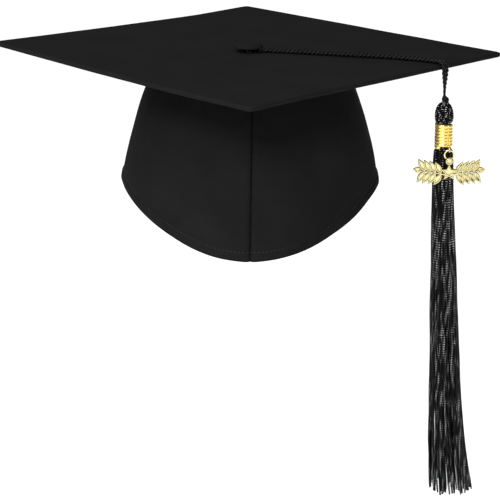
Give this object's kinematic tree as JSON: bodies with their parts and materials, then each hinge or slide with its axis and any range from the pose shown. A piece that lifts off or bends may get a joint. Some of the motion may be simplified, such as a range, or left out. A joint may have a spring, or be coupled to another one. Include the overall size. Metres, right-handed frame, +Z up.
{
  "type": "graduation cap",
  "caption": "Square cloth-covered board on a soft skullcap, with a doubled cord and a hanging tassel that carries a gold charm.",
  "frame": {"origin": "centre of the crown's inner face, where the top of a head touches it", "axes": "+Z up, square to the board; -Y to the front; +X to the wearer's left, to the right seen from the front; the board's corners lie on X and Y"},
  "size_m": [0.3404, 0.3404, 0.3052],
  "materials": {
    "cloth": "matte woven",
    "lining": "matte woven",
    "elastic": "ribbed webbing",
    "card": "matte board",
    "steel": "satin",
    "braid": "twisted satin yarn",
    "floss": "shiny rayon",
    "gold": "polished gold plate"
  },
  "bodies": {
    "cap": {"board_core": "card", "board_cover_top": "cloth", "board_cover_underside": "cloth", "crown_top": "lining", "cap_panel_left": "cloth", "cap_panel_right": "cloth", "hem_facing": "cloth", "elastic_band": "elastic", "button_cover": "cloth", "button_shell": "steel", "button_back": "steel", "button_rivet": "steel", "rivet_washer": "steel"},
    "cord_loop": {"cord_eye": "braid"},
    "cord_run": {"cord_run_back": "braid", "cord_run_front": "braid"},
    "cord_drop": {"cord_drop_back": "braid", "cord_drop_front": "braid"},
    "knot": {"cord_knot": "braid"},
    "tassel": {"tassel_head": "floss", "tassel_core": "floss", "tassel_skirt": "floss", "wire_band": "gold", "charm_hook": "gold"},
    "ring": {"jump_ring": "gold"},
    "charm": {"charm": "gold"}
  },
  "joints": [
    {"name": "cord_swivel", "type": "hinge", "parent": "cap", "child": "cord_loop", "pos_m": [0, 0, 0.00625], "axis": [0, 0, 1], "range_deg": [-47, 0]},
    {"name": "cord_lift", "type": "hinge", "parent": "cord_loop", "child": "cord_run", "pos_m": [0.01088, -0.00372, 0.0074], "axis": [-0.3238, -0.9461, 0], "range_deg": [0, 40]},
    {"name": "tassel_swing", "type": "hinge", "parent": "cord_run", "child": "cord_drop", "pos_m": [0.12639, -0.04289, 0.0074], "axis": [-0.7071, -0.7071, 0], "range_deg": [0, 75]},
    {"name": "tassel_sway", "type": "hinge", "parent": "cord_drop", "child": "knot", "pos_m": [0.12851, -0.04501, -0.0172], "axis": [0.7071, -0.7071, 0], "range_deg": [-40, 40]},
    {"name": "tassel_spin", "type": "hinge", "parent": "knot", "child": "tassel", "pos_m": [0.12851, -0.04501, -0.0172], "axis": [0, 0, 1], "range_deg": [-90, 90]},
    {"name": "ring_swing", "type": "hinge", "parent": "tassel", "child": "ring", "pos_m": [0.13181, -0.05301, -0.05025], "axis": [-1, 0, 0], "range_deg": [0, 60]},
    {"name": "charm_rock", "type": "hinge", "parent": "ring", "child": "charm", "pos_m": [0.13181, -0.05301, -0.0533], "axis": [0, 1, 0], "range_deg": [-25, 25]}
  ]
}
